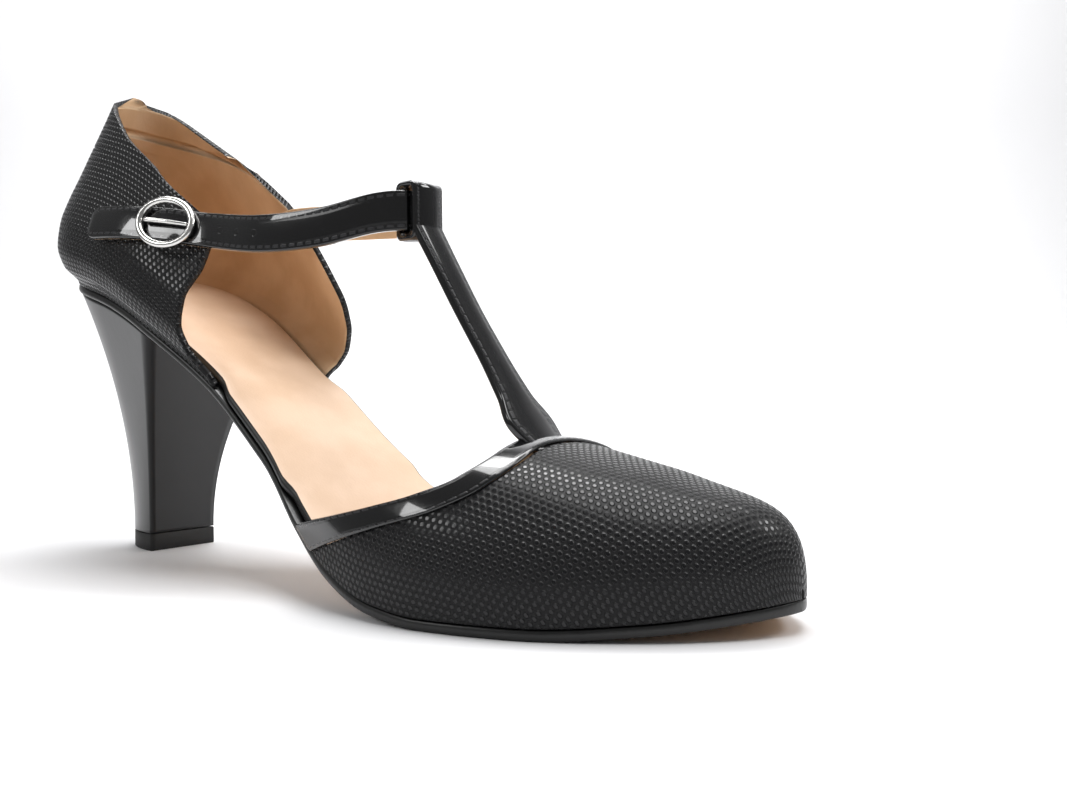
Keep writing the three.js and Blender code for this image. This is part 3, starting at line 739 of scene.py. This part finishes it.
# %% The quarter's lean and edges
# Columns: share of the quarter's height, how far the level is pushed out
lean = smooth([
    (-0.20, 0), (0.00, 0), (0.09, BULGE * 0.72), (0.19, BULGE), (0.31, BULGE * 0.86),
    (0.43, BULGE * 0.45), (0.57, -ANKLE_PINCH * 0.08), (0.74, -ANKLE_PINCH * 0.42),
    (0.88, -ANKLE_PINCH * 0.70), (1.04, -ANKLE_PINCH), (1.20, -ANKLE_PINCH * 1.3),
])
QUARTER_FRONT = LENGTH * 0.42
TOP = SEAT_HEIGHT + QUARTER_HEIGHT


def height_line(rows):
    """x of a quarter's edge at a height: rows of place along the sole and share of the top."""
    curve = smooth(sorted((rise * TOP, share * LENGTH) for share, rise in rows))
    return lambda z: curve(z)[0]


OUTER_EDGE = height_line([
    (0.020, 1.002), (0.055, 0.985), (0.105, 0.930), (0.150, 0.870), (0.215, 0.800),
    (0.262, 0.738), (0.305, 0.690), (0.334, 0.635), (0.336, 0.580), (0.327, 0.525),
    (0.325, 0.470), (0.333, 0.410), (0.352, 0.355), (0.372, 0.310)])
INNER_EDGE = height_line([
    (0.020, 1.002), (0.060, 0.985), (0.115, 0.925), (0.205, 0.833), (0.275, 0.765),
    (0.315, 0.715), (0.345, 0.645), (0.366, 0.570), (0.374, 0.525), (0.369, 0.480),
    (0.357, 0.430), (0.345, 0.385), (0.340, 0.340)])


# %% The sole line round the heel
def rim_table(count=700, blur=13):
    """The sole line from the outer front round the back to the inner front, evenly spaced,
    with normals from its steps, averaged over a few neighbours. Distance 0 is the back."""
    turn = np.linspace(0, math.pi / 2, 400)
    x = SOLE_START + (QUARTER_FRONT - SOLE_START) * (1 - np.cos(turn))
    half, middle, level = section(x)
    outer = np.stack([x, middle - half, level], -1)[::-1]
    inner = np.stack([x, middle + half, level], -1)
    line = np.vstack([outer, inner])
    along = arc((line * [1, 1, 0])[:, None], 0)[:, 0]
    along -= along[len(outer) - 1]
    even = np.linspace(along[0], along[-1], count)
    even_line = np.stack([np.interp(even, along, line[:, k]) for k in range(3)], -1)
    step = np.pad(np.gradient(even_line[:, :2], even, axis=0), ((blur // 2,) * 2, (0, 0)), mode="edge")
    mean = np.ones(blur) / blur
    dx, dy = (np.convolve(step[:, k], mean, mode="valid") for k in range(2))
    normal = np.stack([-dy, dx], -1)
    return even, even_line, normal / np.linalg.norm(normal, axis=-1, keepdims=True)


RIM_S, RIM_LINE, RIM_NORMAL = rim_table()
print("sole line round the heel:", (RIM_S[-1] - RIM_S[0]).round(1), "mm")


# %% Quarter
def heel_wall(s, share):
    """Sole line at s, pushed out along its normal by the lean, and raised by the share."""
    x, y, level = (np.interp(s, RIM_S, RIM_LINE[:, k]) for k in range(3))
    nx, ny = (np.interp(s, RIM_S, RIM_NORMAL[:, k]) for k in range(2))
    out = lean(share)[0]
    return np.stack([x + nx * out, y + ny * out, level + share * QUARTER_HEIGHT], -1)


def wall_end(edge, share, side):
    """How far round the heel each level reaches before it meets the front edge."""
    def inside(s):
        point = heel_wall(s * side, share)
        return point[..., 0] < edge(point[..., 2])
    reach = min(-RIM_S[0], RIM_S[-1])
    return crossing(inside, np.zeros_like(share), np.full_like(share, reach)) * side


def quarter(rows=90, cols=170, top=1.002):
    """Each level runs from the outer front edge, round the back, to the inner front edge."""
    share = np.linspace(0, top, rows)
    start, end = wall_end(OUTER_EDGE, share, -1), wall_end(INNER_EDGE, share, 1)
    s = start[:, None] + (end - start)[:, None] * np.linspace(0, 1, cols)[None, :]
    level = np.broadcast_to(share[:, None], s.shape)
    uv = np.stack([s, level * QUARTER_HEIGHT], -1).reshape(-1, 2)
    points, quads, kind, uv = shell(heel_wall(s, level), WALL, uv)
    make_piece("quarter_leather", outward(points, quads), (TEXTURED, LINING), "quarter",
               kind, uv)


quarter()

# %% [markdown]
# The sole and the sock are plates that follow the last. A boolean of a thick sheet
# would leave rough edges, and here the edge is seen all along. So each station is a
# rectangle with round ends, and the material changes where the edge is painted.

# %% Plates that follow the last
FLAT = 15                             # points along a plate's top or bottom
ROUND = 9                             # points round a plate's edge


def plate(inset, start, end, top, bottom, corner, dish=0.0):
    """Stations across the sole, closer at both ends, from one side line to the other. Top
    and bottom are depths under the feather line. The dish sinks the top by a sine."""
    x = start + (end - start) * (1 - np.cos(np.linspace(0, math.pi, 220))) / 2
    half, middle, level = section(x, inset(x))
    turn = np.linspace(-math.pi / 2, math.pi / 2, ROUND)
    there = np.linspace(0, 1, FLAT + 2)[1:-1]
    across = np.concatenate([there, np.ones(ROUND), there[::-1], np.zeros(ROUND)])
    up, down = (np.sin(turn) + 1) / 2, (np.sin(-turn) + 1) / 2
    lift = np.concatenate([np.zeros(FLAT), up, np.ones(FLAT), down])
    out = np.concatenate([np.zeros(FLAT), np.cos(turn), np.zeros(FLAT), -np.cos(turn)])
    half, middle, level = half[:, None], middle[:, None], level[:, None]
    pull = np.minimum(corner, 2 * half / 3)
    y = middle - half + pull + (2 * half - 2 * pull) * across + out * pull
    z = level - bottom + (bottom - top) * lift - dish * np.sin(across * math.pi) * (lift > 0.99)
    body = outward(*capped(np.stack([np.broadcast_to(x[:, None], y.shape), y, z], -1)))
    column = np.tile(np.arange(len(across)), len(x) - 1)
    return body, column


# %% Outsole
def outsole():
    """A plate under the feather line; its flat underside is bare leather."""
    body, column = plate(lambda x: 0.0 * x, SOLE_START, LENGTH - SOLE_START, GAP, GAP + OUTSOLE, 0.5)
    make_piece("outsole_leather", body, (EDGE, UNDERSIDE), "outsole", column < FLAT)


outsole()

# %% [markdown]
# The sock lies inside the upper, and reaches the sole's edge where the waist is open.
# There its edge is wrapped in black leather. Its middle is padded and dished a little.


# %% Insole
def insole():
    """A plate on the feather line, inset by the upper's wall except at the bare waist."""
    inside = (WALL + GAP) / 0.92
    bare = smooth([(0.33, 1), (0.355, 1), (0.385, 0), (0.49, 0), (0.515, 1), (0.53, 1)])
    body, column = plate(lambda x: GAP + (inside - GAP) * bare(x / LENGTH)[0],
                         inside + 0.05, LENGTH - inside - 1.5, -INSOLE, 0, 0.9, 0.8)
    top = (column >= FLAT + ROUND - 1) & (column <= 2 * FLAT + ROUND)
    make_piece("insole_sock", body, (EDGE, SOCK), "insole", top)


insole()

# %% [markdown]
# The heel's section is a D: round at the back, with a flat breast towards the toe. It
# grows from the tip to the seat, slowly at first and fast at the top. Tip and seat
# have the same number of points, so a share of the way between them gives each level.

# %% The heel's outlines
BREAST = LENGTH * 0.235               # the breast's place at the seat
SEAT_INSET = 0.8
TAPER = 2.0                           # power of the growth


def d_outline(count=60, breast=12):
    """The tip's D and the seat's D, point for point: round back, then straight breast."""
    angle = np.linspace(-math.pi / 2, math.pi / 2, count)
    back_to_front = 1 - np.cos(angle)
    tip = np.stack([TIP_BACK + TIP_LENGTH * back_to_front, TIP_MIDDLE + TIP_HALF * np.sin(angle)], -1)
    x = SEAT_INSET + (BREAST - SEAT_INSET) * back_to_front
    half, middle, level = section(x, SEAT_INSET)
    side = np.sign(angle) * np.minimum(1, np.abs(angle) / 0.02)
    seat = np.stack([x, middle + side * half, level - OUTSOLE - 2 * GAP], -1)
    t = np.linspace(0, 1, breast + 2)[1:-1, None]
    tip = np.vstack([tip, tip[-1] + (tip[0] - tip[-1]) * t])
    seat = np.vstack([seat, seat[-1] + (seat[0] - seat[-1]) * t])
    return tip, seat


# %% Heel
def heel(levels=70):
    """Between tip and seat: sideways by the height's share to a power, upwards evenly."""
    tip, seat = d_outline()
    foot = TOP_LIFT + GAP
    t = np.linspace(0, 1, levels)[:, None]
    flare = t ** TAPER
    x = tip[:, 0] + (seat[:, 0] - tip[:, 0]) * flare
    y = tip[:, 1] + (seat[:, 1] - tip[:, 1]) * flare
    z = foot + (seat[:, 2] - foot) * t
    make_piece("heel_block", outward(*capped(np.stack([x, y, z], -1))), (LACQUER,), "heel")


heel()


# %% Heel tip
def top_lift(soft=0.25):
    """The tip's D, drawn in a little at the very top and bottom for a soft edge."""
    tip, _ = d_outline()
    middle = tip.mean(0)
    rows = []
    for z, size in ((0.0, 0.985), (soft, 1.0), (TOP_LIFT - soft, 1.0), (TOP_LIFT, 0.985)):
        rows.append(np.column_stack([middle + (tip - middle) * size, np.full(len(tip), z)]))
    make_piece("heel_tip", outward(*capped(np.array(rows))), (RUBBER,), "top_lift")


top_lift()

# %% [markdown]
# The ankle strap is one patent strip: from its free end on the outer quarter, through
# the buckle and the sleeve, to the inside of the inner quarter. Its path is given
# point by point, as a strap hangs. The points on the quarter follow its wall.

# %% The strap's path
STRAP_OUT = STRAP_THICK / 2 + GAP     # from a wall to the strap's middle
STRAP_RISE = STRAP_LEVEL * 0.04


def beside_quarter(share, rise, side, clear, tilt):
    """A path point at a share of the sole, this clear of the wall on one side of the foot:
    middle plus or minus half width and lean."""
    x, level = share * LENGTH, STRAP_LEVEL + STRAP_RISE * rise
    half, middle, feather = section(x)
    wall = middle + side * (half + lean((level - feather) / QUARTER_HEIGHT)[0])
    return (x, wall - clear, level, tilt)


OUTSIDE = (-1, STRAP_OUT * 2.0, 20)
INSIDE = (1, WALL + STRAP_OUT * 3.1, 9)
# Columns: place in millimetres and tilt in degrees
STRAP_ROWS = np.array([
    beside_quarter(0.172, 1.1, *OUTSIDE),
    beside_quarter(0.225, 0.9, *OUTSIDE),
    beside_quarter(0.280, 0.5, *OUTSIDE),
    beside_quarter(0.335, -0.1, *OUTSIDE),
    (LENGTH * 0.430, -WAIST_HALF * 0.93, STRAP_LEVEL - STRAP_RISE * 0.9, 8),
    (LENGTH * 0.505, -WAIST_HALF * 0.70, STRAP_LEVEL - STRAP_RISE * 0.8, 4),
    (LENGTH * 0.566, -WAIST_HALF * 0.42, STRAP_LEVEL - STRAP_RISE * 0.1, 0),
    (LOOP_X - 0.35, BAR_SHIFT - BAR_WIDTH * 0.52, STRAP_LEVEL, 0),
    (LOOP_X + 0.25, BAR_SHIFT, STRAP_LEVEL, 0),
    (LOOP_X - 0.35, BAR_SHIFT + BAR_WIDTH * 0.52, STRAP_LEVEL, 0),
    (LENGTH * 0.560, WAIST_HALF * 0.50, STRAP_LEVEL + STRAP_RISE * 0.2, 0),
    (LENGTH * 0.460, WAIST_HALF * 0.60, STRAP_LEVEL + STRAP_RISE * 0.7, 4),
    beside_quarter(0.348, 0.95, *INSIDE),
    beside_quarter(0.305, 1.0, *INSIDE),
], float)
STRAP_PATH, STRAP_TILT = STRAP_ROWS[:, :3], np.radians(STRAP_ROWS[:, 3])


# %% A curve through the path
def centripetal(points, t):
    """Catmull-Rom curve whose knots are spaced by the root of the chord, read at t from 0
    to 1. Past each end the first and last steps are mirrored."""
    first, last = 2 * points[0] - points[1], 2 * points[-1] - points[-2]
    p = np.vstack([first, points, last])
    q = np.clip(t, 0, 1) * (len(points) - 1)
    i = np.minimum(q.astype(int), len(points) - 2)
    w = (q - i)[:, None]
    p0, p1, p2, p3 = p[i], p[i + 1], p[i + 2], p[i + 3]

    def knot(a, b):
        """The root of the distance between two points."""
        return np.maximum(np.linalg.norm(b - a, axis=-1, keepdims=True) ** 0.5, 1e-4)

    d0, d1, d2 = knot(p0, p1), knot(p1, p2), knot(p2, p3)
    m1 = ((p1 - p0) / d0 - (p2 - p0) / (d0 + d1) + (p2 - p1) / d1) * d1
    m2 = ((p2 - p1) / d1 - (p3 - p1) / (d1 + d2) + (p3 - p2) / d2) * d1
    return ((2 * w ** 3 - 3 * w ** 2 + 1) * p1 + (w ** 3 - 2 * w ** 2 + w) * m1
            + (3 * w ** 2 - 2 * w ** 3) * p2 + (w ** 3 - w ** 2) * m2)


def strap_frame(t, nudge=1e-3):
    """Place, direction, face normal and width direction of the strap at t. The normal lies
    flat and square to the direction, and then leans by the tilt."""
    t = np.atleast_1d(t)
    place = centripetal(STRAP_PATH, t)
    along = centripetal(STRAP_PATH, t + nudge) - centripetal(STRAP_PATH, t - nudge)
    along /= np.linalg.norm(along, axis=-1, keepdims=True)
    out = np.stack([along[:, 1], -along[:, 0], 0 * t], -1)
    out /= np.linalg.norm(out, axis=-1, keepdims=True)
    row = t * (len(STRAP_TILT) - 1)
    tilt = np.interp(row, np.arange(len(STRAP_TILT)), STRAP_TILT)[:, None]
    rise = np.array([0, 0, 1.0])
    up = np.cos(tilt) * rise - np.sin(tilt) * out
    face = np.cos(tilt) * out + np.sin(tilt) * rise
    return place, along, face, up


# %% Ankle strap
HOLES = (0.255, 0.292, 0.329)         # shares of the strap's length
END_ROUND = 0.018                     # share of the strap over which its end rounds off


def ankle_strap(steps=300):
    """A rounded section carried along the path, narrowed at the free end as a circle is."""
    t = np.linspace(0, 1, steps)
    place, _, face, up = strap_frame(t)
    ends = np.sqrt(np.clip(1 - (1 - t / END_ROUND).clip(0) ** 2, 0.02, 1))
    widths = STRAP_HEIGHT * (0.55 + 0.45 * ends)
    rings = swept(place, face, up, widths, STRAP_THICK, 0.45, 0.12)
    uv = strip_uv(rings, widths)
    length = uv[-1, 0]
    leather = patent_leather("strap_leather", [length * share for share in HOLES])
    column = np.tile(np.arange(rings.shape[1]), steps - 1)
    back = (column >= 2 * CORNER_POINTS) & (column < 4 * CORNER_POINTS - 1)
    make_piece("ankle_strap_leather", outward(*capped(rings)), (leather, LINING), "ankle_strap",
               back, uv)
    print("strap length:", round(float(length), 1), "mm")


ankle_strap()

# %% [markdown]
# The buckle stands off the strap by a small gap. Its ring is an oval wire, a touch
# flatter than it is wide, and its prong is a tapering pin that bows over the strap.
# Both use the strap's own directions at that place, so they lie as the strap does.

# %% Buckle
RING_AT = 2.15 / (len(STRAP_PATH) - 1)
WIRE_FLAT = 0.4                       # half depth of the wire, in wires
RING_OFF = STRAP_THICK / 2 + GAP + WIRE * WIRE_FLAT
TURN = np.linspace(0, 2 * math.pi, 17)[:-1]


def buckle_ring(middle, along, face, up, count=96):
    """An oval wire: the ring's oval, and round each of its points the wire's oval."""
    angle = np.linspace(0, 2 * math.pi, count + 1)[:-1, None]
    spoke = (along * np.cos(angle) * (RING_LENGTH - WIRE) / 2
             + up * np.sin(angle) * (RING_HEIGHT - WIRE) / 2)
    outer = spoke / np.linalg.norm(spoke, axis=-1, keepdims=True)
    rings = (middle + spoke[:, None] + outer[:, None] * (np.cos(TURN) * WIRE / 2)[None, :, None]
             + face * (np.sin(TURN) * WIRE * WIRE_FLAT)[None, :, None])
    quads = grid_faces(count + 1, len(TURN), wrap=True) % (count * len(TURN))
    make_piece("buckle_ring_metal", outward(rings.reshape(-1, 3), quads), (METAL,), "buckle_ring")


def buckle_prong(middle, along, face, up, count=24):
    """A round pin along the strap that bows by a sine, tapers, and is rounded at its root."""
    reach = RING_LENGTH / 2 - WIRE - GAP
    t = np.linspace(0, 1, count)[:, None]
    centre = middle + along * (2 * reach * t - reach) + face * 0.35 * np.sin(t * math.pi)
    root = np.sqrt(np.clip(1 - (t - 0.04).clip(-0.04, 0) ** 2 * 500, 0.2, 1))
    radius = PRONG / 2 * (1 - 0.35 * t) * root
    rings = (centre[:, None] + up * (np.cos(TURN) * radius)[..., None]
             + face * (np.sin(TURN) * radius)[..., None])
    make_piece("buckle_prong_metal", outward(*capped(rings)), (METAL,), "buckle_prong")


strap_place, strap_along, strap_face, strap_up = (value[0] for value in strap_frame(RING_AT))
buckle_place = (strap_place + strap_face * RING_OFF, strap_along, strap_face, strap_up)
buckle_ring(*buckle_place)
buckle_prong(*buckle_place)

# %% [markdown]
# The photo was taken from close by, low, ahead of the shoe and on its outer side. The
# camera's place, turn and lens were worked out from where the sole line, the heel and
# the straps lie in the picture, in the shoe's own sizes.

# %% Camera
PHOTO_WIDTH = 1067.0
FOCAL_PIXELS = 1006.1
SENSOR = 36.0
AZIMUTH = math.radians(39.35)
ELEVATION = math.radians(1.02)
ROLL = math.radians(-0.53)
DISTANCE = 219.74
AIM = np.array([168.67, 0.0, 45.30])
back = np.array([math.sin(AZIMUTH) * math.cos(ELEVATION),
                 -math.cos(AZIMUTH) * math.cos(ELEVATION), math.sin(ELEVATION)])
level_right = np.array([math.cos(AZIMUTH), math.sin(AZIMUTH), 0.0])
level_up = np.cross(level_right, -back)
right = level_right * math.cos(ROLL) + level_up * math.sin(ROLL)
up = level_up * math.cos(ROLL) - level_right * math.sin(ROLL)
camera_data = bpy.data.cameras.new("camera")
camera_data.lens = FOCAL_PIXELS / PHOTO_WIDTH * SENSOR
camera_data.sensor_width = SENSOR
camera_data.sensor_fit = "HORIZONTAL"
camera_data.clip_start = 0.01
camera = bpy.data.objects.new("camera", camera_data)
camera_place = Vector((AIM + back * DISTANCE + DATUM) * MM)
camera.matrix_world = Matrix.Translation(camera_place) @ Matrix((right, up, back)).transposed().to_4x4()
bpy.context.scene.collection.objects.link(camera)
bpy.context.scene.camera = camera
print("camera lens:", round(camera_data.lens, 2), "mm")

# %% [markdown]
# The shoe stands on a pale sweep, as in a studio: paper that lies flat and then turns
# up behind, so that no line shows where floor and wall meet. Sizes are in metres.

# %% Floor
SWEEP_RADIUS = 0.5
GROUND_END = 0.9                      # where the paper starts to turn up
WALL_RISE = 1.6
PAPER_REACH = 3.0


def floor():
    """Flat ground, a quarter circle and a wall, drawn out square to the view."""
    turn = np.linspace(0, math.pi / 2, 25)
    far = np.concatenate([[-PAPER_REACH], GROUND_END + SWEEP_RADIUS * np.sin(turn),
                          [GROUND_END + SWEEP_RADIUS]])
    rise = np.concatenate([[0.0], SWEEP_RADIUS * (1 - np.cos(turn)), [SWEEP_RADIUS + WALL_RISE]])
    wide = np.linspace(-PAPER_REACH, PAPER_REACH, 3)
    away = np.array([-math.sin(AZIMUTH), math.cos(AZIMUTH)])
    across = np.array([math.cos(AZIMUTH), math.sin(AZIMUTH)])
    flat = far[:, None, None] * away + wide[None, :, None] * across
    upright = np.broadcast_to(rise[:, None, None], flat.shape[:2] + (1,))
    grid = np.concatenate([flat, upright], -1)
    faces = grid_faces(len(far), len(wide))[:, ::-1]
    mesh = bpy.data.meshes.new("floor")
    mesh.from_pydata(grid.reshape(-1, 3).tolist(), [], faces.tolist())
    mesh.polygons.foreach_set("use_smooth", np.ones(len(faces), bool))
    paper = Shader("pale_floor", Base_Color=(0.78, 0.78, 0.79, 1), Roughness=0.6)
    mesh.materials.append(paper.material)
    ground = bpy.data.objects.new("floor", mesh)
    bpy.context.scene.collection.objects.link(ground)
    print("floor", len(faces), "faces")


floor()

# %% [markdown]
# Glossy black leather shows only what it reflects. A wide box over the shoe draws the
# streaks along the straps, small ones to both sides lift the outline and light the
# dots, one more lights the paper, and a dim even world fills the rest.


# %% Lights
def area_light(name, place, target, width, height, power):
    """A light box in metres and watts that faces its target."""
    data = bpy.data.lights.new(name, "AREA")
    data.shape = "RECTANGLE"
    data.size = width
    data.size_y = height
    data.energy = power
    lamp = bpy.data.objects.new(name, data)
    lamp.location = place
    lamp.rotation_euler = (Vector(target) - Vector(place)).to_track_quat("-Z", "Y").to_euler()
    bpy.context.scene.collection.objects.link(lamp)
    print(name, power, "W")


area_light("top_box", (0.05, 0.10, 1.00), (0.02, 0, 0), 0.9, 0.45, 9.0)
area_light("side_box", (-0.45, -0.95, 0.75), (0, 0, 0.06), 0.35, 0.25, 2.2)
area_light("back_box", (0.70, 0.55, 0.75), (0.03, 0, 0.03), 0.5, 0.3, 4.5)
area_light("backdrop_light", (-0.35, 0.45, 1.30), (-0.90, 1.10, 0.30), 1.6, 0.7, 24.0)
world = bpy.data.worlds.new("studio")
world.use_nodes = True
sky = world.node_tree.nodes["Background"].inputs
sky["Color"].default_value = (1, 1, 1, 1)
sky["Strength"].default_value = 0.22
bpy.context.scene.world = world
bpy.context.scene.view_settings.view_transform = "Standard"
